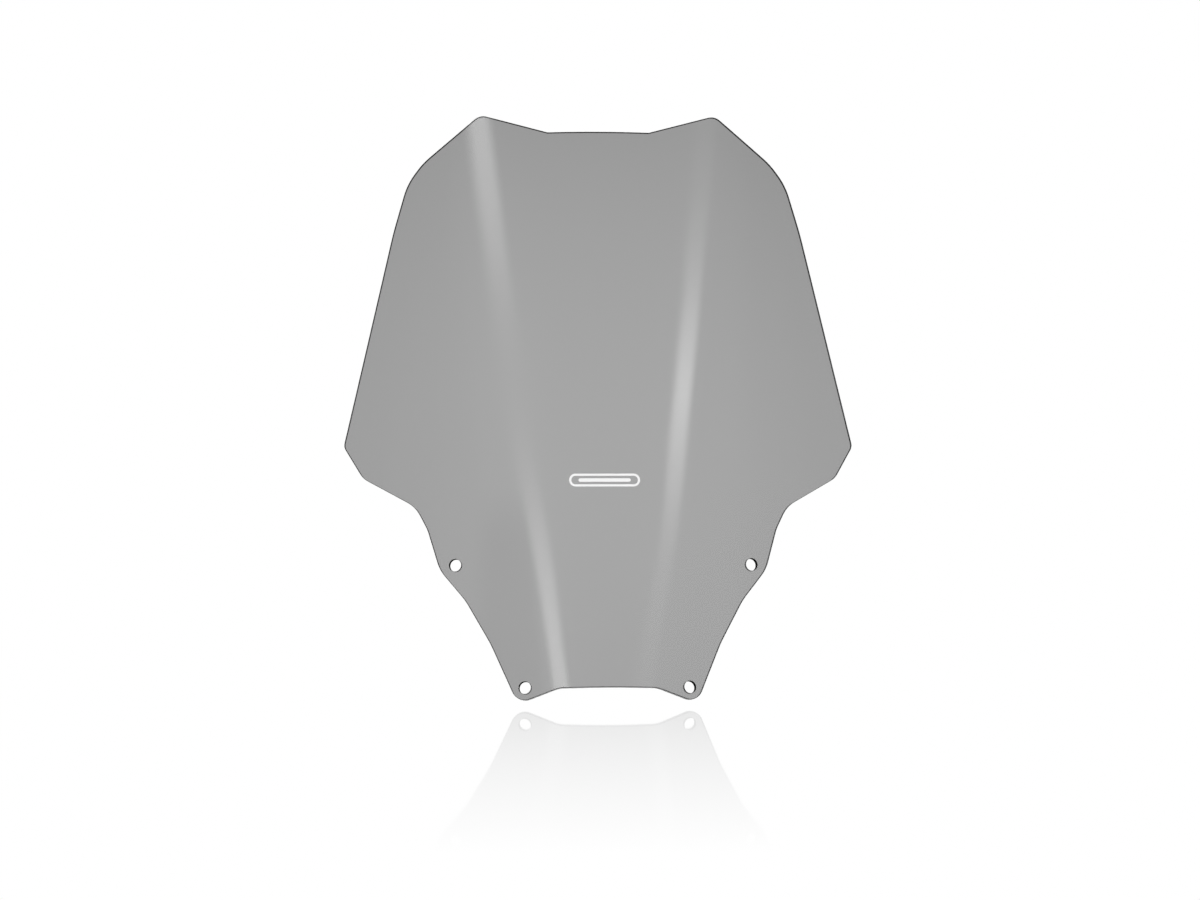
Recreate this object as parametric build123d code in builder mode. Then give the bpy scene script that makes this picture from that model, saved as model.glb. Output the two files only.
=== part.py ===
from build123d import *
import math
import os

# ---------------------------------------------------------------------------
# Motorcycle windshield screen: one thermoformed clear sheet, 4 mm thick, with
# four mounting holes, and a thin white mark on its front face.
#
# Frame: +X to the right as seen from in front, +Y to the back (towards the
# rider), +Z up. X = 0 is the mirror plane. The origin is the bottom centre of
# the screen's bounding box. The screen leans back as it does on the motorcycle.
# Millimetres.
# ---------------------------------------------------------------------------

SHEET = 4.0            # sheet thickness, along the local normal

# Centre-line profile: slope dy/dz is LEAN_MID at LEAN_MID_Z and grows as
# LEAN_GROWTH * (z - LEAN_MID_Z)^2 above and below it, a shallow S in side view
LEAN_MID = 0.22
LEAN_MID_Z = 247.4
LEAN_GROWTH = 9.6e-7

# Cross-section: a nearly flat middle and two swept side panels, joined by soft
# vertical ridges that run apart towards the top
SWEEP = 0.32           # dy/dx of a side panel beyond its ridge
RIDGE_SOFT = 10.0      # half-width of the blend at a ridge
RIDGE_X_BOTTOM = 37.5  # ridge distance from the centre at z = 0
RIDGE_X_RISE = 0.1255  # how far it moves out for each millimetre of height
CROWN = 1.0e-4         # slight crown of the whole cross-section, y = CROWN * x^2

# Outline of the right half, seen along Y, from the top centre round to the
# bottom centre: (x, z, fillet radius at that corner)
OUTLINE = [
    (0.0, 490.4, 1400.0),    # floor of the top notch, very slightly arched
    (44.4, 489.2, 1.5),      # notch corner
    (103.0, 504.5, 11.4),    # top horn
    (152.5, 462.5, 69.5),    # shoulder
    (166.2, 444.0, 61.0),
    (178.4, 401.9, 350.0),   # long side edge
    (201.4, 303.4, 940.0),
    (222.15, 215.0, 8.3),    # widest corner
    (205.7, 187.6, 16.0),
    (161.1, 163.5, 26.0),    # inner bend of the flank
    (151.1, 144.0, 30.0),
    (141.0, 109.6, 34.0),
    (119.5, 83.9, 60.0),
    (99.0, 47.9, 84.0),      # skirt edge
    (76.9, -2.17, 10.9),     # foot, one round around the lower hole
    (42.2, 11.4, 25.0),      # corner of the raised bottom middle
    (0.0, 12.7, 900.0),      # bottom middle, very slightly arched
]

# Mounting holes: (x, z) of the centre on the front face, mirrored in X
HOLE_D = 11.0
HOLES = {"upper": (127.8, 114.0), "lower": (70.6, 11.3)}

# Thin white mark on the front face, in the middle of the sheet
MARK_Z = 187.0         # height of its centre
MARK_W = 61.0          # overall width
MARK_H = 11.0          # overall height
MARK_LINE = 1.9        # width of the outer ring's line
MARK_BAR_H = 3.0       # height of the bar inside the ring
MARK_BAR_W = 45.0
MARK_T = 0.20          # film thickness

# Sampling of the formed surface, wider and taller than the outline
GRID_X = 240.0
GRID_Z0, GRID_Z1 = -20.0, 525.0
GRID_NX, GRID_NZ = 97, 57


def softplus(t):
    return t + math.log1p(math.exp(-t)) if t > 0 else math.log1p(math.exp(t))


def depth(x, z):
    """How far back the front face lies at (x, z), before centring in Y."""
    dz = z - LEAN_MID_Z
    lean = LEAN_MID * z + LEAN_GROWTH * (dz**3 + LEAN_MID_Z**3) / 3
    ridge = RIDGE_X_BOTTOM + RIDGE_X_RISE * z
    sides = softplus((x - ridge) / RIDGE_SOFT) + softplus((-x - ridge) / RIDGE_SOFT)
    return lean + SWEEP * RIDGE_SOFT * sides + CROWN * x * x


def front_normal(x, z):
    """Unit normal of the front face, pointing forward (towards -Y)."""
    h = 0.01
    dx = (depth(x + h, z) - depth(x - h, z)) / (2 * h)
    dz = (depth(x, z + h) - depth(x, z - h)) / (2 * h)
    return Vector(dx, -1, dz).normalized()


# The bounding box is centred in Y: its front is the front face at the foot and
# its back is the rear face where the side edge reaches furthest back
Y_SHIFT = -68.9


def front_point(x, z):
    return Vector(x, depth(x, z) + Y_SHIFT, z)


grid = [
    [
        front_point(
            -GRID_X + 2 * GRID_X * i / (GRID_NX - 1),
            GRID_Z0 + (GRID_Z1 - GRID_Z0) * j / (GRID_NZ - 1),
        )
        for j in range(GRID_NZ)
    ]
    for i in range(GRID_NX)
]
formed_face = Face.make_surface_from_array_of_points(grid, tol=0.004, min_deg=3, max_deg=5)

# Whole outline, clockwise from the top centre, with a radius for each corner
right = OUTLINE
left = [(-x, z, r) for x, z, r in reversed(OUTLINE[1:-1])]
corners = right + left


def rounded_corners(points):
    """Start, middle and end of the tangent arc at each corner of a closed outline."""
    n = len(points)
    ends = []
    for i in range(n):
        p = Vector(points[i][0], 0, points[i][1])
        a = Vector(points[i - 1][0], 0, points[i - 1][1])
        c = Vector(points[(i + 1) % n][0], 0, points[(i + 1) % n][1])
        u, w = (a - p).normalized(), (c - p).normalized()
        half = math.acos(max(-1.0, min(1.0, u.dot(w)))) / 2
        r = points[i][2]
        if r <= 0 or abs(half - math.pi / 2) < 1e-5:
            ends.append((p, None, p))
            continue
        t = r / math.tan(half)
        middle = (u + w).normalized()
        mid = p + middle * (r / math.sin(half) - r)
        ends.append((p + u * t, mid, p + w * t))
    return ends


runs = rounded_corners(corners)

with BuildSketch(Plane.XZ) as outline:
    with BuildLine() as rim_line:
        for i, (start, mid, end) in enumerate(runs):
            # the sketch plane's own y is world z
            s, e = (start.X, start.Z), (end.X, end.Z)
            if mid is not None:
                ThreePointArc(s, (mid.X, mid.Z), e)
            nxt = runs[(i + 1) % len(runs)][0]
            if math.dist(e, (nxt.X, nxt.Z)) > 1e-4:
                Line(e, (nxt.X, nxt.Z))
    make_face()

# The front face of the sheet: the formed surface inside the outline
prism = Solid.extrude(outline.sketch.faces()[0].moved(Location((0, -200, 0))), Vector(0, 400, 0))
front_face = formed_face.intersect(prism)
front_face = front_face.faces()[0] if hasattr(front_face, "faces") else front_face[0].faces()[0]

with BuildPart() as screen_panel:
    thicken(front_face, amount=SHEET, normal_override=Vector(0, 1, 0), clean=False)
    for x, z in HOLES.values():
        for side in (-1, 1):
            n = front_normal(side * x, z)
            with BuildSketch(Plane(origin=front_point(side * x, z) - n * SHEET * 0.5,
                                   x_dir=Vector(0, 0, 1).cross(n), z_dir=n)):
                Circle(HOLE_D / 2)
            extrude(amount=SHEET * 2, both=True, clean=False, mode=Mode.SUBTRACT)

screen_panel.part.label = "screen_panel"

# The mark: a slim rounded ring with a bar inside it, in the surface's own shape
with BuildSketch(Plane.XZ) as mark_shape:
    with Locations((0, MARK_Z)):
        SlotOverall(MARK_W, MARK_H)
        SlotOverall(MARK_W - 2 * MARK_LINE, MARK_H - 2 * MARK_LINE, mode=Mode.SUBTRACT)
        SlotOverall(MARK_BAR_W, MARK_BAR_H)

mark_faces = []
for f in mark_shape.sketch.faces():
    block = Solid.extrude(f.moved(Location((0, -200, 0))), Vector(0, 400, 0))
    cut = formed_face.intersect(block)
    mark_faces += cut.faces() if hasattr(cut, "faces") else [q for c in cut for q in c.faces()]

with BuildPart() as front_mark:
    for f in mark_faces:
        thicken(f, amount=MARK_T, normal_override=Vector(0, -1, 0), clean=False)

front_mark.part.label = "front_mark"

os.makedirs("parts", exist_ok=True)
export_step(screen_panel.part, "parts/screen_panel.step")
export_step(front_mark.part, "parts/front_mark.step")

if __name__ == "__main__":
    for name, piece in (("screen_panel", screen_panel.part), ("front_mark", front_mark.part)):
        b = piece.bounding_box()
        print(name, "solids", len(piece.solids()), "volume %.1f mm3" % piece.volume,
              "valid", piece.is_valid,
              "x %.2f..%.2f y %.2f..%.2f z %.2f..%.2f" % (b.min.X, b.max.X, b.min.Y, b.max.Y, b.min.Z, b.max.Z))
    for name, (x, z) in HOLES.items():
        for side in (-1, 1):
            p, n = front_point(side * x, z), front_normal(side * x, z)
            c = p - n * SHEET / 2
            print("hole", name, side, "centre %.4f %.4f %.4f" % (c.X, c.Y, c.Z),
                  "axis %.6f %.6f %.6f" % (n.X, n.Y, n.Z))
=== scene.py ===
import math

import bmesh
import bpy
import numpy as np
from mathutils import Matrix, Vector
from mathutils.geometry import delaunay_2d_cdt


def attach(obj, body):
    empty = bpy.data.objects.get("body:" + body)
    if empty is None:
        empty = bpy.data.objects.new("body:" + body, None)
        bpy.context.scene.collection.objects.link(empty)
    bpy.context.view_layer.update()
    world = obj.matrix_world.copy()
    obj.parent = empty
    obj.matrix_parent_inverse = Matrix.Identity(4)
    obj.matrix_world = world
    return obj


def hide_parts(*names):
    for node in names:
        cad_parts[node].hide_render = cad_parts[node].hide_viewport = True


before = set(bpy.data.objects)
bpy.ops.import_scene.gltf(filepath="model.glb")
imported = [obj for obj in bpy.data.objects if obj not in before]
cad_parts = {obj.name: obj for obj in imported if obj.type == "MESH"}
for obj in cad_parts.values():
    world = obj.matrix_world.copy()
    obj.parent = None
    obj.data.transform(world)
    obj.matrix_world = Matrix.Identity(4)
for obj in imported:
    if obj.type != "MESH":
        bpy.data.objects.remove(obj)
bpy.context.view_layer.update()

MM = 0.001

# ---------------------------------------------------------------------------
# The formed sheet: the same surface and outline as the CAD model, millimetres
# ---------------------------------------------------------------------------
SHEET = 4.0
LEAN_MID, LEAN_MID_Z, LEAN_GROWTH = 0.22, 247.4, 9.6e-7
SWEEP, RIDGE_SOFT = 0.32, 10.0
RIDGE_X_BOTTOM, RIDGE_X_RISE = 37.5, 0.1255
CROWN = 1.0e-4
Y_SHIFT = -68.9
OUTLINE = [
    (0.0, 490.4, 1400.0),
    (44.4, 489.2, 1.5),
    (103.0, 504.5, 11.4),
    (152.5, 462.5, 69.5),
    (166.2, 444.0, 61.0),
    (178.4, 401.9, 350.0),
    (201.4, 303.4, 940.0),
    (222.15, 215.0, 8.3),
    (205.7, 187.6, 16.0),
    (161.1, 163.5, 26.0),
    (151.1, 144.0, 30.0),
    (141.0, 109.6, 34.0),
    (119.5, 83.9, 60.0),
    (99.0, 47.9, 84.0),
    (76.9, -2.17, 10.9),
    (42.2, 11.4, 25.0),
    (0.0, 12.7, 900.0),
]
HOLE_R = 5.5
HOLES = [(127.8, 114.0), (70.6, 11.3)]
EDGE_ROUND = 0.7       # polished rim
HOLE_CHAMFER = 0.25    # drilled holes, lightly deburred
GRID = 4.0             # spacing of the inner mesh points


def depth(x, z):
    dz = z - LEAN_MID_Z
    lean = LEAN_MID * z + LEAN_GROWTH * (dz**3 + LEAN_MID_Z**3) / 3
    ridge = RIDGE_X_BOTTOM + RIDGE_X_RISE * z
    sides = np.logaddexp(0, (x - ridge) / RIDGE_SOFT) + np.logaddexp(0, (-x - ridge) / RIDGE_SOFT)
    return lean + SWEEP * RIDGE_SOFT * sides + CROWN * x * x + Y_SHIFT


def normals(x, z, h=0.02):
    """Unit normals of the front face, pointing forward."""
    dx = (depth(x + h, z) - depth(x - h, z)) / (2 * h)
    dz = (depth(x, z + h) - depth(x, z - h)) / (2 * h)
    n = np.stack([dx, -np.ones_like(dx), dz], -1)
    return n / np.linalg.norm(n, axis=-1, keepdims=True)


def front(x, z):
    return np.stack([x, depth(x, z), z], -1)


def outline_loop(step):
    """The closed outline as (x, z) points with true arcs at its corners."""
    pts = OUTLINE + [(-x, z, r) for x, z, r in reversed(OUTLINE[1:-1])]
    n, out = len(pts), []
    for i in range(n):
        p = np.array(pts[i][:2])
        u = np.array(pts[i - 1][:2]) - p
        w = np.array(pts[(i + 1) % n][:2]) - p
        u, w = u / np.linalg.norm(u), w / np.linalg.norm(w)
        half = math.acos(max(-1.0, min(1.0, float(u @ w)))) / 2
        r = pts[i][2]
        if r <= 0 or abs(half - math.pi / 2) < 1e-5:
            out.append(p)
            continue
        t = r / math.tan(half)
        mid = (u + w) / np.linalg.norm(u + w)
        c = p + mid * (r / math.sin(half))
        a0 = p + u * t - c
        a1 = p + w * t - c
        ang = math.atan2(a0[0] * a1[1] - a0[1] * a1[0], float(a0 @ a1))
        k = max(3, int(math.ceil(abs(ang) / math.radians(7.0))), int(math.ceil(abs(ang) * r / step)))
        for j in range(k + 1):
            q = ang * j / k
            out.append(c + np.array([a0[0] * math.cos(q) - a0[1] * math.sin(q),
                                     a0[0] * math.sin(q) + a0[1] * math.cos(q)]))
    # straight runs are divided too
    loop = []
    for i, a in enumerate(out):
        b = out[(i + 1) % len(out)]
        d = np.linalg.norm(b - a)
        if d < 1e-6:
            continue
        k = max(1, int(math.ceil(d / step)))
        loop += [a + (b - a) * j / k for j in range(k)]
    return np.array(loop)


def smooth_loop_dirs(loop):
    """Unit tangent of a closed loop at each point, clockwise or not as the loop runs."""
    t = np.roll(loop, -1, 0) - np.roll(loop, 1, 0)
    return t / np.linalg.norm(t, axis=1, keepdims=True)


def skin_mesh(name, loops, edge, inner):
    """A closed sheet between the front face and SHEET behind it.

    loops: list of (points (x, z) on the front face, outward direction in (x, z), inset)
    edge: profile of the rim as (inward offset, depth below the front) for each loop kind
    """
    verts, faces, vn = [], [], []
    flat_pts, rings = [], []
    for pts, outward, kind in loops:
        prof = edge[kind]
        base_x, base_z = pts[:, 0], pts[:, 1]
        n = normals(base_x, base_z)
        p0 = front(base_x, base_z)
        # outward direction on the surface, square to the normal
        o3 = np.stack([outward[:, 0], np.zeros(len(pts)), outward[:, 1]], -1)
        o3 = o3 - (o3 * n).sum(1, keepdims=True) * n
        o3 /= np.linalg.norm(o3, axis=1, keepdims=True)
        first = len(verts)
        for inset, below, (no, nn) in prof:
            p = p0 - o3 * inset - n * below
            m = o3 * no + n * nn
            for a, b in zip(p, m):
                verts.append(a)
                vn.append(b)
        rings.append((first, len(pts), len(prof)))
        # the ring where the flat face starts, in (x, z)
        q = p0 - o3 * prof[0][0] - n * prof[0][1]
        flat_pts.append(q[:, [0, 2]])
    # triangulate the front face between the rings' first lines
    coords = [Vector((float(a), float(b))) for ring in flat_pts for a, b in ring]
    edges, s = [], 0
    for ring in flat_pts:
        k = len(ring)
        edges += [(s + j, s + (j + 1) % k) for j in range(k)]
        s += k
    n_ring = s
    coords += [Vector((float(a), float(b))) for a, b in inner]
    vo, eo, fo, vmap, _, _ = delaunay_2d_cdt(coords, edges, [], 0, 1e-7)
    outv = [None] * len(vo)
    starts = []
    s = 0
    for first, k, _ in rings:
        starts.append((s, s + k, first))
        s += k
    extra_front = {}
    for i, src in enumerate(vmap):
        hit = None
        for q in src:
            for a, b, first in starts:
                if a <= q < b:
                    hit = first + (q - a)
        outv[i] = hit
    idx_new = [i for i in range(len(vo)) if outv[i] is None]
    nx = np.array([vo[i].x for i in idx_new])
    nz = np.array([vo[i].y for i in idx_new])
    nrm = normals(nx, nz)
    fp = front(nx, nz)
    for j, i in enumerate(idx_new):
        outv[i] = len(verts)
        extra_front[i] = len(verts)
        verts.append(fp[j])
        vn.append(nrm[j])
    back_of = {}
    for j, i in enumerate(idx_new):
        back_of[outv[i]] = len(verts)
        verts.append(fp[j] - nrm[j] * SHEET)
        vn.append(-nrm[j])
    for first, k, m in rings:
        for j in range(k):
            back_of[first + j] = first + (m - 1) * k + j
    keep = inside_test(flat_pts)
    for f in fo:
        c = [sum(vo[i].x for i in f) / len(f), sum(vo[i].y for i in f) / len(f)]
        if not keep(c):
            continue
        t = [outv[i] for i in f]
        a, b, c3 = (np.array(verts[t[0]]), np.array(verts[t[1]]), np.array(verts[t[2]]))
        if np.cross(b - a, c3 - a)[1] > 0:      # the front face looks towards -Y
            t = t[::-1]
        faces.append(t)
        faces.append([back_of[q] for q in t[::-1]])
    for first, k, m in rings:
        for r in range(m - 1):
            for j in range(k):
                a, b = first + r * k + j, first + r * k + (j + 1) % k
                quad = [a, b, b + k, a + k]
                faces.append(quad)
    verts = np.array(verts)
    vn = np.array(vn)
    vn /= np.linalg.norm(vn, axis=1, keepdims=True)
    # turn each side quad so that it agrees with its normals
    fixed = []
    for f in faces:
        p = verts[f]
        g = np.cross(p[1] - p[0], p[2] - p[0]) + (np.cross(p[2] - p[0], p[3] - p[0]) if len(f) == 4 else 0)
        fixed.append(f[::-1] if g @ vn[f].mean(0) < 0 else f)
    me = bpy.data.meshes.new(name)
    me.from_pydata([tuple(v * MM) for v in verts], [], [list(f) for f in fixed])
    me.update()
    me.polygons.foreach_set("use_smooth", [True] * len(me.polygons))
    me.normals_split_custom_set_from_vertices([tuple(v) for v in vn])
    ob = bpy.data.objects.new(name, me)
    bpy.context.scene.collection.objects.link(ob)
    return ob


def inside_test(rings):
    outer = rings[0]
    holes = [(r.mean(0), np.linalg.norm(r - r.mean(0), axis=1).min()) for r in rings[1:]]
    ax, az = outer[:, 0], outer[:, 1]
    bx, bz = np.roll(ax, -1), np.roll(az, -1)

    def test(c):
        x, z = c
        cross = (az > z) != (bz > z)
        with np.errstate(divide="ignore", invalid="ignore"):
            xi = ax + (z - az) * (bx - ax) / (bz - az)
        if not (np.count_nonzero(cross & (x < xi)) % 2):
            return False
        for h, r in holes:
            if math.hypot(x - h[0], z - h[1]) < r * 0.999:
                return False
        return True
    return test


def rounded_edge(r, depth_of_sheet, k):
    """Rim profile with a round of radius r at both faces: (inset, below, (outward, normal))."""
    prof = []
    for j in range(k + 1):
        a = math.pi / 2 * j / k
        prof.append((r - r * math.sin(a), r - r * math.cos(a), (math.sin(a), math.cos(a))))
    for j in range(k + 1):
        a = math.pi / 2 * j / k
        prof.append((r - r * math.cos(a), depth_of_sheet - r + r * math.sin(a), (math.cos(a), -math.sin(a))))
    return prof


rim = outline_loop(2.2)
# points closer together than a tenth of a millimetre are one point
keep = np.linalg.norm(rim - np.roll(rim, 1, 0), axis=1) > 0.1
rim = rim[keep]
tan = smooth_loop_dirs(rim)
area = 0.5 * np.sum(rim[:, 0] * np.roll(rim[:, 1], -1) - np.roll(rim[:, 0], -1) * rim[:, 1])
rim_out = np.stack([tan[:, 1], -tan[:, 0]], -1) * (1 if area > 0 else -1)

loops = [(rim, rim_out, "rim")]
hole_rings = []
for hx, hz in HOLES:
    for s in (-1, 1):
        n = normals(np.array([s * hx]), np.array([hz]))[0]
        u = np.cross(np.array([0, 0, 1.0]), n)
        u /= np.linalg.norm(u)
        w = np.cross(n, u)
        c3 = np.array([s * hx, depth(s * hx, hz), hz])
        ang = np.linspace(0, 2 * np.pi, 64, endpoint=False)
        ring = c3 + HOLE_R * (np.cos(ang)[:, None] * u + np.sin(ang)[:, None] * w)
        # the circle lies in the tangent plane; its points are dropped onto the surface along n
        for _ in range(3):
            gap = ring[:, 1] - depth(ring[:, 0], ring[:, 2])
            ring = ring - (gap / n[1])[:, None] * n
        d = ring - c3
        d2 = np.stack([d[:, 0], d[:, 2]], -1)
        # outward of the material is towards the hole's centre
        o2 = -d2 / np.linalg.norm(d2, axis=1, keepdims=True)
        loops.append((ring[:, [0, 2]], o2, "hole"))
        hole_rings.append((s * hx, hz))

profiles = {
    "rim": rounded_edge(EDGE_ROUND, SHEET, 5),
    "hole": rounded_edge(HOLE_CHAMFER, SHEET, 2),
}

# inner points on a staggered grid, kept away from the rim and the holes
inner = []
rows = int(520 / (GRID * 0.866))
for j in range(rows):
    z = j * GRID * 0.866
    off = GRID / 2 if j % 2 else 0.0
    for i in range(-60, 61):
        inner.append((i * GRID + off, z))
inner = np.array(inner)
ri = rim - rim_out * EDGE_ROUND
test = inside_test([ri])
mask = np.array([test(p) for p in inner])
inner = inner[mask]
dist = np.sqrt(((inner[:, None, :] - ri[None, :, :]) ** 2).sum(-1)).min(1)
inner = inner[dist > 1.8]
for hx, hz in hole_rings:
    inner = inner[np.hypot(inner[:, 0] - hx, inner[:, 1] - hz) > HOLE_R + 2.2]

screen = skin_mesh("screen", loops, profiles, inner)
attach(screen, "root")
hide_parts("screen_panel")


def edge_shade_strip(name, pts, outward, radius, least, over, under):
    """Painted shade for the cut wall: a thin closed strip that follows the wall's profile, from over to under it in
    mm.
    """
    steps = 14
    path = []
    for j in range(steps + 1):
        s = -1 + 2 * j / steps
        if abs(s) < 0.5:      # the straight part of the wall
            path.append((0.0, SHEET / 2 + s * 2 * (SHEET / 2 - radius), (1.0, 0.0)))
        else:                 # into the rounds, towards the face
            a = (abs(s) - 0.5) * 2 * math.acos(least)
            side = 1.0 if s < 0 else -1.0
            base = radius if s < 0 else SHEET - radius
            path.append((radius - radius * math.cos(a), base - side * radius * math.sin(a),
                         (math.cos(a), side * math.sin(a))))
    x, z = pts[:, 0], pts[:, 1]
    n = normals(x, z)
    p0 = front(x, z)
    o3 = np.stack([outward[:, 0], np.zeros(len(pts)), outward[:, 1]], -1)
    o3 = o3 - (o3 * n).sum(1, keepdims=True) * n
    o3 /= np.linalg.norm(o3, axis=1, keepdims=True)
    verts, vn, k = [], [], len(pts)
    lines = [(q, -over, 1.0) for q in path] + [(q, under, -1.0) for q in reversed(path)]
    for (inset, below, (no, nn)), depth_in, side in lines:
        m = o3 * no + n * nn
        verts.append((p0 - o3 * inset - n * below) - m * depth_in)
        vn.append(m * side)
    verts, vn = np.concatenate(verts), np.concatenate(vn)
    faces, rows_ = [], len(lines)
    for r in range(rows_):
        r2 = (r + 1) % rows_
        for j in range(k):
            j2 = (j + 1) % k
            f = [r * k + j, r * k + j2, r2 * k + j2, r2 * k + j]
            p = verts[f]
            g = np.cross(p[2] - p[0], p[3] - p[1])
            if r not in (len(path) - 1, rows_ - 1) and g @ vn[f].mean(0) < 0:
                f = f[::-1]
            faces.append(f)
    me = bpy.data.meshes.new(name)
    me.from_pydata([tuple(v * MM) for v in verts], [], faces)
    me.update()
    bm = bmesh.new()
    bm.from_mesh(me)
    bmesh.ops.recalc_face_normals(bm, faces=bm.faces)
    bm.to_mesh(me)
    bm.free()
    me.polygons.foreach_set("use_smooth", [True] * len(me.polygons))
    ob = bpy.data.objects.new(name, me)
    bpy.context.scene.collection.objects.link(ob)
    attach(ob, "root")
    return ob


# dark strips over the rim and the four hole walls carry painted shade; the hole strips stand 0.2 mm out from their
# walls
edges = [edge_shade_strip("rim_edge", rim, rim_out, EDGE_ROUND, 0.35, -0.03, 0.07)]
for (pts, outward, _), nm in zip(loops[1:], ("hole_edge_upper_left", "hole_edge_upper_right",
                                             "hole_edge_lower_left", "hole_edge_lower_right")):
    edges.append(edge_shade_strip(nm, pts, outward, HOLE_CHAMFER, 0.9, 0.20, 0.03))


# ---------------------------------------------------------------------------
# The white mark: a slim rounded ring with a bar inside it, printed on the front
# ---------------------------------------------------------------------------
MARK_Z, MARK_W, MARK_H = 187.0, 61.0, 11.0
MARK_LINE, MARK_BAR_H, MARK_BAR_W, MARK_T = 1.9, 3.0, 45.0, 0.20
MARK_ROUND = 0.08


def stadium(w, h, k=18):
    r, half = h / 2, w / 2 - h / 2
    out = []
    for s in (1, -1):
        for j in range(k + 1):
            a = -math.pi / 2 + math.pi * j / k
            out.append((s * (half + r * math.cos(a)), s * r * math.sin(a)))
    # straight runs divided so that the film follows the sheet
    loop = []
    for i, a in enumerate(out):
        b = out[(i + 1) % len(out)]
        n = max(1, int(math.hypot(b[0] - a[0], b[1] - a[1]) / 1.5))
        loop += [(a[0] + (b[0] - a[0]) * j / n, a[1] + (b[1] - a[1]) * j / n) for j in range(n)]
    return np.array(loop)


def film(name, outer, hole):
    """Printed film: its top follows the sheet, its edge is rounded down to it."""
    verts, vn, faces = [], [], []
    steps = [(0.0, 0.012, (1.0, 0.0))]
    for j in range(4):
        a = math.pi / 2 * j / 3
        steps.append((MARK_ROUND * (1 - math.cos(a)), MARK_T - MARK_ROUND + MARK_ROUND * math.sin(a),
                      (math.cos(a), math.sin(a))))
    rings = []
    for loop, sign in [(outer, 1.0)] + ([(hole, -1.0)] if hole is not None else []):
        t = smooth_loop_dirs(loop)
        ar = np.sum(loop[:, 0] * np.roll(loop[:, 1], -1) - np.roll(loop[:, 0], -1) * loop[:, 1])
        out2 = np.stack([t[:, 1], -t[:, 0]], -1) * (1 if ar > 0 else -1) * sign
        x, z = loop[:, 0], loop[:, 1] + MARK_Z
        n = normals(x, z)
        p0 = front(x, z)
        o3 = np.stack([out2[:, 0], np.zeros(len(x)), out2[:, 1]], -1)
        o3 = o3 - (o3 * n).sum(1, keepdims=True) * n
        o3 /= np.linalg.norm(o3, axis=1, keepdims=True)
        first = len(verts)
        for inset, up, (no, nn) in steps:
            for a, b in zip(p0 - o3 * inset + n * up, o3 * no + n * nn):
                verts.append(a)
                vn.append(b)
        rings.append((first, len(loop), loop - out2 * steps[-1][0]))
    m = len(steps)
    coords, edges, src = [], [], []
    for first, k, flat in rings:
        s = len(coords)
        coords += [Vector((float(a), float(b))) for a, b in flat]
        edges += [(s + j, s + (j + 1) % k) for j in range(k)]
        src += [first + (m - 1) * k + j for j in range(k)]
    vo, _, fo, vmap, _, _ = delaunay_2d_cdt(coords, edges, [], 0, 1e-7)
    flats = [r[2] for r in rings]

    def within(loop, c):
        ax, az = loop[:, 0], loop[:, 1]
        bx, bz = np.roll(ax, -1), np.roll(az, -1)
        cr = (az > c[1]) != (bz > c[1])
        with np.errstate(divide="ignore", invalid="ignore"):
            xi = ax + (c[1] - az) * (bx - ax) / (bz - az)
        return bool(np.count_nonzero(cr & (c[0] < xi)) % 2)

    # the film's underside lies a hair above the sheet, so that the two never share a face
    top_of = {i: src[q[0]] for i, q in enumerate(vmap) if len(q)}
    for f in fo:
        c = (sum(vo[i].x for i in f) / len(f), sum(vo[i].y for i in f) / len(f))
        if not within(flats[0], c) or (len(flats) > 1 and within(flats[1], c)):
            continue
        t = [top_of[i] for i in f]
        faces.append(t)
        lower = []
        for q in t:
            for first, k, _ in rings:
                if first <= q < first + m * k:
                    lower.append(first + (q - first) % k)
        faces.append(lower[::-1])
    n_top = len(faces)
    for first, k, _ in rings:
        for r in range(m - 1):
            for j in range(k):
                a, b = first + r * k + j, first + r * k + (j + 1) % k
                faces.append([a, b, b + k, a + k])
    verts, vn = np.array(verts), np.array(vn)
    vn /= np.linalg.norm(vn, axis=1, keepdims=True)
    fixed = []
    for i, f in enumerate(faces):
        p = verts[f]
        g = np.cross(p[1] - p[0], p[2] - p[0]) + (np.cross(p[2] - p[0], p[3] - p[0]) if len(f) == 4 else 0)
        if i < n_top:
            want = np.array([0, -1.0, 0]) if i % 2 == 0 else np.array([0, 1.0, 0])
        else:
            want = vn[f].mean(0)
        fixed.append(f[::-1] if g @ want < 0 else f)
    return verts, fixed


def mark_object(name, parts):
    verts, faces = [], []
    for v, f in parts:
        s = sum(len(q) for q in verts)
        verts.append(v)
        faces += [[i + s for i in q] for q in f]
    me = bpy.data.meshes.new(name)
    me.from_pydata([tuple(p * MM) for p in np.concatenate(verts)], [], faces)
    me.update()
    me.polygons.foreach_set("use_smooth", [True] * len(me.polygons))
    ob = bpy.data.objects.new(name, me)
    bpy.context.scene.collection.objects.link(ob)
    me.set_sharp_from_angle(angle=math.radians(40))
    return ob


ring_part = film("ring", stadium(MARK_W, MARK_H), stadium(MARK_W - 2 * MARK_LINE, MARK_H - 2 * MARK_LINE))
bar_part = film("bar", stadium(MARK_BAR_W, MARK_BAR_H, 10), None)
mark = mark_object("printed_mark", [ring_part, bar_part])
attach(mark, "root")
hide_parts("front_mark")


# ---------------------------------------------------------------------------
# Materials
# ---------------------------------------------------------------------------
def new_material(name):
    m = bpy.data.materials.new(name)
    m.use_nodes = True
    m.node_tree.nodes.clear()
    return m, m.node_tree.nodes, m.node_tree.links


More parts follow.
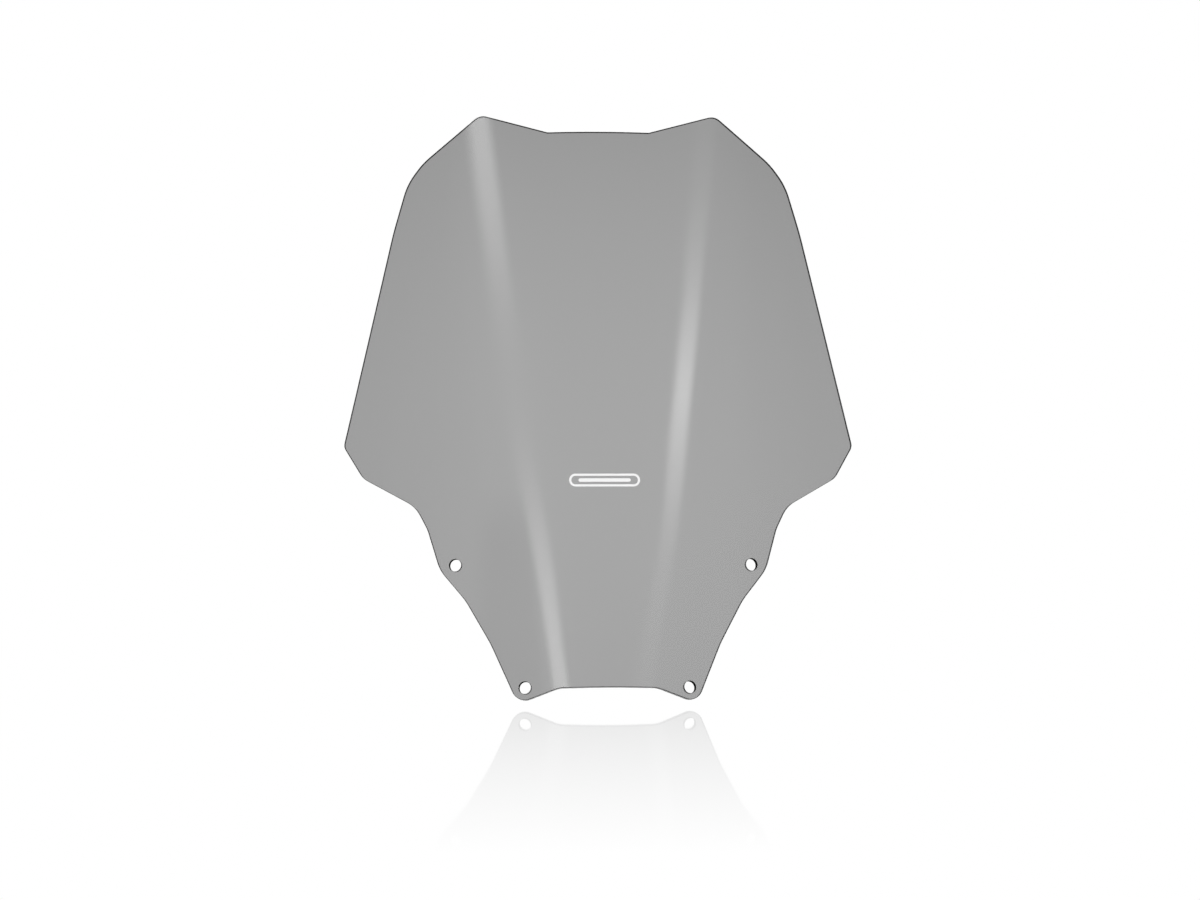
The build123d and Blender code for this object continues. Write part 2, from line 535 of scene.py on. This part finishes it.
def smoked_acrylic():
    m, N, L = new_material("smoked_acrylic")
    out = N.new("ShaderNodeOutputMaterial")
    glass = N.new("ShaderNodeBsdfPrincipled")
    glass.inputs["Base Color"].default_value = (1.0, 1.0, 1.0, 1.0)
    glass.inputs["Metallic"].default_value = 0.0
    glass.inputs["Roughness"].default_value = 0.035
    glass.inputs["IOR"].default_value = 1.49
    glass.inputs["Transmission Weight"].default_value = 1.0
    # heat-formed acrylic: a long, slow ripple in its gloss, drawn out along the height
    tc = N.new("ShaderNodeTexCoord")
    stretch = N.new("ShaderNodeMapping")
    stretch.inputs["Scale"].default_value = (26.0, 26.0, 7.0)
    ripple = N.new("ShaderNodeTexNoise")
    ripple.inputs["Scale"].default_value = 1.0
    ripple.inputs["Detail"].default_value = 1.5
    ripple.inputs["Roughness"].default_value = 0.35
    b1 = N.new("ShaderNodeBump")
    b1.inputs["Strength"].default_value = 0.35
    b1.inputs["Distance"].default_value = 0.0002
    L.new(tc.outputs["Object"], stretch.inputs["Vector"])
    L.new(stretch.outputs["Vector"], ripple.inputs["Vector"])
    L.new(ripple.outputs["Fac"], b1.inputs["Height"])
    # fine hairline wear from wiping, far below the ripple
    fine = N.new("ShaderNodeMapping")
    fine.inputs["Rotation"].default_value = (0.0, math.radians(24), 0.0)
    fine.inputs["Scale"].default_value = (420.0, 420.0, 30.0)
    hair = N.new("ShaderNodeTexNoise")
    hair.inputs["Scale"].default_value = 1.0
    hair.inputs["Detail"].default_value = 1.0
    b2 = N.new("ShaderNodeBump")
    b2.inputs["Strength"].default_value = 0.02
    b2.inputs["Distance"].default_value = 0.00001
    L.new(tc.outputs["Object"], fine.inputs["Vector"])
    L.new(fine.outputs["Vector"], hair.inputs["Vector"])
    L.new(hair.outputs["Fac"], b2.inputs["Height"])
    L.new(b1.outputs["Normal"], b2.inputs["Normal"])
    L.new(b2.outputs["Normal"], glass.inputs["Normal"])
    L.new(glass.outputs["BSDF"], out.inputs["Surface"])
    smoke = N.new("ShaderNodeVolumeAbsorption")
    smoke.inputs["Color"].default_value = (0.0, 0.0, 0.0, 1.0)
    smoke.inputs["Density"].default_value = 273.8
    L.new(smoke.outputs["Volume"], out.inputs["Volume"])
    return m


def white_print():
    m, N, L = new_material("white_print")
    out = N.new("ShaderNodeOutputMaterial")
    ink = N.new("ShaderNodeBsdfPrincipled")
    ink.inputs["Metallic"].default_value = 0.0
    ink.inputs["IOR"].default_value = 1.5
    tc = N.new("ShaderNodeTexCoord")
    grain = N.new("ShaderNodeTexNoise")
    grain.inputs["Scale"].default_value = 2600.0
    grain.inputs["Detail"].default_value = 3.0
    tone = N.new("ShaderNodeValToRGB")
    tone.color_ramp.elements[0].position = 0.3
    tone.color_ramp.elements[0].color = (0.88, 0.88, 0.88, 1.0)
    tone.color_ramp.elements[1].position = 0.7
    tone.color_ramp.elements[1].color = (0.95, 0.95, 0.945, 1.0)
    gloss = N.new("ShaderNodeMapRange")
    gloss.inputs["To Min"].default_value = 0.36
    gloss.inputs["To Max"].default_value = 0.50
    bump = N.new("ShaderNodeBump")
    bump.inputs["Strength"].default_value = 0.25
    bump.inputs["Distance"].default_value = 0.00002
    L.new(tc.outputs["Object"], grain.inputs["Vector"])
    L.new(grain.outputs["Fac"], tone.inputs["Fac"])
    L.new(tone.outputs["Color"], ink.inputs["Base Color"])
    L.new(grain.outputs["Fac"], gloss.inputs["Value"])
    L.new(gloss.outputs["Result"], ink.inputs["Roughness"])
    L.new(grain.outputs["Fac"], bump.inputs["Height"])
    L.new(bump.outputs["Normal"], ink.inputs["Normal"])
    L.new(ink.outputs["BSDF"], out.inputs["Surface"])
    return m


def painted_shade_wall(name, dark, pale, specular, smoothest, roughest):
    """Painted shade on the cut wall of the smoked sheet: nearly black for the dark look of the lit rim and the
    shadowed hole walls, with fine marks from the tool.
    """
    m, N, L = new_material(name)
    out = N.new("ShaderNodeOutputMaterial")
    edge = N.new("ShaderNodeBsdfPrincipled")
    edge.inputs["Metallic"].default_value = 0.0
    edge.inputs["IOR"].default_value = 1.49
    edge.inputs["Specular IOR Level"].default_value = specular
    tc = N.new("ShaderNodeTexCoord")
    marks = N.new("ShaderNodeTexNoise")
    marks.inputs["Scale"].default_value = 1800.0
    marks.inputs["Detail"].default_value = 4.0
    tone = N.new("ShaderNodeValToRGB")
    tone.color_ramp.elements[0].position = 0.3
    tone.color_ramp.elements[0].color = (dark, dark, dark, 1.0)
    tone.color_ramp.elements[1].position = 0.75
    tone.color_ramp.elements[1].color = (pale, pale, pale, 1.0)
    gloss = N.new("ShaderNodeMapRange")
    gloss.inputs["To Min"].default_value = smoothest
    gloss.inputs["To Max"].default_value = roughest
    bump = N.new("ShaderNodeBump")
    bump.inputs["Strength"].default_value = 0.3
    bump.inputs["Distance"].default_value = 0.00003
    L.new(tc.outputs["Object"], marks.inputs["Vector"])
    L.new(marks.outputs["Fac"], tone.inputs["Fac"])
    L.new(tone.outputs["Color"], edge.inputs["Base Color"])
    L.new(marks.outputs["Fac"], gloss.inputs["Value"])
    L.new(gloss.outputs["Result"], edge.inputs["Roughness"])
    L.new(marks.outputs["Fac"], bump.inputs["Height"])
    L.new(bump.outputs["Normal"], edge.inputs["Normal"])
    L.new(edge.outputs["BSDF"], out.inputs["Surface"])
    return m


screen.data.materials.append(smoked_acrylic())
# the rim and hole walls are painted nearly black: painted shade for the dark edge and the shadow inside the holes
rim_shade_material = painted_shade_wall("cut_rim_painted_shade", 0.010, 0.028, 0.5, 0.35, 0.60)
bore_shade_material = painted_shade_wall("drilled_wall_painted_shade", 0.001, 0.004, 0.02, 0.7, 0.9)
for ob in edges:
    ob.data.materials.append(rim_shade_material if ob.name == "rim_edge" else bore_shade_material)
mark.data.materials.append(white_print())


# ---------------------------------------------------------------------------
# Studio: a white light table with a faint gloss, white surroundings, and two
# tall soft boxes in front that show only as reflections in the sheet
# ---------------------------------------------------------------------------
AZ = math.radians(4.5)
TARGET = Vector((0.0, -0.0089, 0.24738))

floor_me = bpy.data.meshes.new("floor")
S, FZ = 8.0, -0.0045
floor_me.from_pydata([(-S, -S, FZ), (S, -S, FZ), (S, S, FZ), (-S, S, FZ)], [], [(0, 1, 2, 3)])
floor = bpy.data.objects.new("floor", floor_me)
bpy.context.scene.collection.objects.link(floor)
fm, N, L = new_material("floor_white")
o = N.new("ShaderNodeOutputMaterial")
white = N.new("ShaderNodeEmission")
white.inputs["Color"].default_value = (1, 1, 1, 1)
white.inputs["Strength"].default_value = 1.0
gloss = N.new("ShaderNodeBsdfGlossy")
gloss.inputs["Color"].default_value = (1, 1, 1, 1)
gloss.inputs["Roughness"].default_value = 0.03
# the gloss is strongest under the screen and dies away around it
tc = N.new("ShaderNodeTexCoord")
dist = N.new("ShaderNodeVectorMath")
dist.operation = "LENGTH"
fade = N.new("ShaderNodeMapRange")
fade.inputs["From Min"].default_value = 0.0
fade.inputs["From Max"].default_value = 1.37
fade.inputs["To Min"].default_value = 0.305
fade.inputs["To Max"].default_value = 0.0
mix = N.new("ShaderNodeMixShader")
L.new(tc.outputs["Object"], dist.inputs[0])
L.new(dist.outputs["Value"], fade.inputs["Value"])
L.new(fade.outputs["Result"], mix.inputs[0])
L.new(white.outputs[0], mix.inputs[1])
L.new(gloss.outputs[0], mix.inputs[2])
L.new(mix.outputs[0], o.inputs["Surface"])
fm.cycles.emission_sampling = "NONE"
floor_me.materials.append(fm)

# Surroundings: white to the eye. What the gloss meets in front of the screen is
# a wall that is brightest low down and dims towards the ceiling.
world = bpy.data.worlds.new("studio")
bpy.context.scene.world = world
world.use_nodes = True
nt = world.node_tree
nt.nodes.clear()
W, K = nt.nodes, nt.links


def maths(op, a, b=None, clamp=False):
    n = W.new("ShaderNodeMath")
    n.operation = op
    n.use_clamp = clamp
    for i, v in enumerate((a, b)):
        if v is None:
            continue
        if isinstance(v, (int, float)):
            n.inputs[i].default_value = v
        else:
            K.new(v, n.inputs[i])
    return n.outputs[0]


wtc = W.new("ShaderNodeTexCoord")
sep = W.new("ShaderNodeSeparateXYZ")
K.new(wtc.outputs["Generated"], sep.inputs[0])
ahead = maths("MAXIMUM", maths("MULTIPLY", sep.outputs[1], -1.0), 0.05)
height = maths("DIVIDE", sep.outputs[2], ahead)
across = maths("DIVIDE", sep.outputs[0], ahead)
wall = maths("SUBTRACT", 1.95, maths("MULTIPLY", maths("SUBTRACT", height, 0.445), 6.2))
wall = maths("MINIMUM", maths("MAXIMUM", wall, 0.5), 2.1)
left_dim = maths("MULTIPLY", maths("DIVIDE", maths("SUBTRACT", maths("MULTIPLY", across, -1.0), 0.69), 0.12, True), 0.36)
left_dim = maths("ADD", left_dim, maths(
    "MULTIPLY", maths("DIVIDE", maths("SUBTRACT", maths("MULTIPLY", across, -1.0), 0.45), 0.2, True), 0.10))
right_dim = maths("MULTIPLY", maths("DIVIDE", maths("SUBTRACT", across, 0.99), 0.12, True), 0.32)
wall = maths("MULTIPLY", wall, maths("SUBTRACT", 1.0, maths("ADD", left_dim, right_dim)))
in_front = maths("DIVIDE", maths("SUBTRACT", maths("MULTIPLY", sep.outputs[1], -1.0), 0.05), 0.35, True)
lp = W.new("ShaderNodeLightPath")
seen = maths("MULTIPLY", lp.outputs["Is Glossy Ray"], maths("SUBTRACT", 1.0, lp.outputs["Is Transmission Ray"]))
seen = maths("MULTIPLY", seen, in_front)
level = maths("ADD", 1.0, maths("MULTIPLY", seen, maths("SUBTRACT", wall, 1.0)))
bg = W.new("ShaderNodeBackground")
bg.inputs["Color"].default_value = (1, 1, 1, 1)
K.new(level, bg.inputs["Strength"])
wout = W.new("ShaderNodeOutputWorld")
K.new(bg.outputs[0], wout.inputs[0])
world.cycles.sampling_method = "NONE"


def soft_box(name, rows_):
    """A tall soft box in the plane y = -0.65 m. rows_: height, centre x, width, brightness, in mm."""
    rows_ = np.array(rows_, float)
    hs = np.linspace(rows_[0, 0], rows_[-1, 0], 90)
    cx, wd, br = (np.interp(hs, rows_[:, 0], rows_[:, i]) for i in (1, 2, 3))
    ker = np.hanning(9)
    ker /= ker.sum()
    cx, wd, br = (np.convolve(np.pad(v, 4, mode="edge"), ker, "valid") for v in (cx, wd, br))
    us = np.linspace(-1.7, 1.7, 41)
    verts, glow = [], []
    for h, c, w, b in zip(hs, cx, wd, br):
        for u in us:
            t = min(max((1.6 - abs(u)) / 1.2, 0.0), 1.0)
            verts.append(((c + u * w / 2) * MM, -0.65, h * MM))
            glow.append(float(b) * t * t * (3 - 2 * t))
    k = len(us)
    faces = [(r * k + j, (r + 1) * k + j, (r + 1) * k + j + 1, r * k + j + 1)
             for r in range(len(hs) - 1) for j in range(k - 1)]
    me = bpy.data.meshes.new(name)
    me.from_pydata(verts, [], faces)
    me.update()
    if me.polygons[0].normal.y < 0:
        me.flip_normals()
    at = me.attributes.new("glow", "FLOAT", "POINT")
    at.data.foreach_set("value", glow)
    m, N, L = new_material(name)
    out = N.new("ShaderNodeOutputMaterial")
    att = N.new("ShaderNodeAttribute")
    att.attribute_name = "glow"
    geo = N.new("ShaderNodeNewGeometry")
    one = N.new("ShaderNodeMath")
    one.operation = "SUBTRACT"
    one.inputs[0].default_value = 1.0
    L.new(geo.outputs["Backfacing"], one.inputs[1])
    mul = N.new("ShaderNodeMath")
    mul.operation = "MULTIPLY"
    L.new(att.outputs["Fac"], mul.inputs[0])
    L.new(one.outputs[0], mul.inputs[1])
    em = N.new("ShaderNodeEmission")
    L.new(mul.outputs[0], em.inputs["Strength"])
    clear = N.new("ShaderNodeBsdfTransparent")
    add = N.new("ShaderNodeAddShader")
    L.new(em.outputs[0], add.inputs[0])
    L.new(clear.outputs[0], add.inputs[1])
    L.new(add.outputs[0], out.inputs["Surface"])
    m.cycles.emission_sampling = "NONE"      # found by the gloss itself, without speckle
    me.materials.append(m)
    ob = bpy.data.objects.new(name, me)
    bpy.context.scene.collection.objects.link(ob)
    ob.visible_camera = False
    ob.visible_diffuse = False
    ob.visible_transmission = False
    ob.visible_shadow = False
    return ob


soft_box("soft_box_left", [
    (230, -205, 140, 3.6), (293, -215, 140, 3.6), (319, -227, 140, 3.34), (354, -229, 160, 2.76),
    (393, -251, 180, 1.94), (436, -280, 190, 0.92), (484, -318, 200, 0.33), (536, -345, 210, 0.05),
    (599, -358, 228, 0.31), (666, -356, 236, 0.92), (742, -367, 225, 1.96), (826, -379, 245, 2.85),
    (972, -395, 250, 3.9), (1100, -405, 250, 3.9)])
soft_box("soft_box_right", [
    (290, 215, 170, 0.25), (331, 260, 175, 0.4), (364, 305, 179, 0.61), (402, 355, 185, 1.10), (446, 368, 189, 2.31),
    (496, 372, 205, 3.61), (551, 379, 200, 4.84), (613, 388, 210, 3.59), (681, 399, 205, 2.14),
    (758, 395, 225, 1.14), (844, 420, 235, 0.5), (930, 425, 240, 0.3), (1030, 430, 240, 0.22)])

# a thin grey flag beside the left soft box, which takes some of the wall's light
flag_x = np.linspace(-600.0, -270.0, 45)
flag_z = np.linspace(452.0, 200.0, 36)


def ease(v, a, b):
    t = np.clip((v - a) / (b - a), 0.0, 1.0)
    return t * t * (3 - 2 * t)


fx, fz = np.meshgrid(flag_x, flag_z)
dim = 0.36 * ease(fx, -590, -532) * (1 - ease(fx, -430, -285)) * (1 - ease(fz, 385, 447)) * ease(fz, 202, 240)
flag_me = bpy.data.meshes.new("flag")
k = len(flag_x)
flag_me.from_pydata([(float(a) * MM, -0.66, float(b) * MM) for a, b in zip(fx.ravel(), fz.ravel())], [],
                    [(r * k + j, (r + 1) * k + j, (r + 1) * k + j + 1, r * k + j + 1)
                     for r in range(len(flag_z) - 1) for j in range(k - 1)])
flag_me.update()
flag_me.attributes.new("dim", "FLOAT", "POINT").data.foreach_set("value", dim.ravel().astype(np.float32))
m, N, L = new_material("flag_net")
out = N.new("ShaderNodeOutputMaterial")
att = N.new("ShaderNodeAttribute")
att.attribute_name = "dim"
rest = N.new("ShaderNodeMath")
rest.operation = "SUBTRACT"
rest.inputs[0].default_value = 1.0
L.new(att.outputs["Fac"], rest.inputs[1])
net = N.new("ShaderNodeBsdfTransparent")
L.new(rest.outputs[0], net.inputs["Color"])
L.new(net.outputs[0], out.inputs["Surface"])
flag_me.materials.append(m)
flag = bpy.data.objects.new("flag", flag_me)
bpy.context.scene.collection.objects.link(flag)
flag.visible_camera = False
flag.visible_diffuse = False
flag.visible_transmission = False
flag.visible_shadow = False

cam_data = bpy.data.cameras.new("camera")
cam_data.sensor_width = 36.0
cam_data.lens = 139.535
cam_data.shift_x = -0.00278
cam_data.shift_y = -0.03367
cam_data.clip_start = 0.05
cam_data.clip_end = 60.0
cam = bpy.data.objects.new("camera", cam_data)
cam.location = (TARGET.x - 4.0 * math.sin(AZ), TARGET.y - 4.0 * math.cos(AZ), TARGET.z)
cam.rotation_euler = (math.pi / 2, 0.0, -AZ)
bpy.context.scene.collection.objects.link(cam)
bpy.context.scene.camera = cam

bpy.context.scene.view_settings.view_transform = "Standard"
bpy.context.scene.view_settings.look = "None"
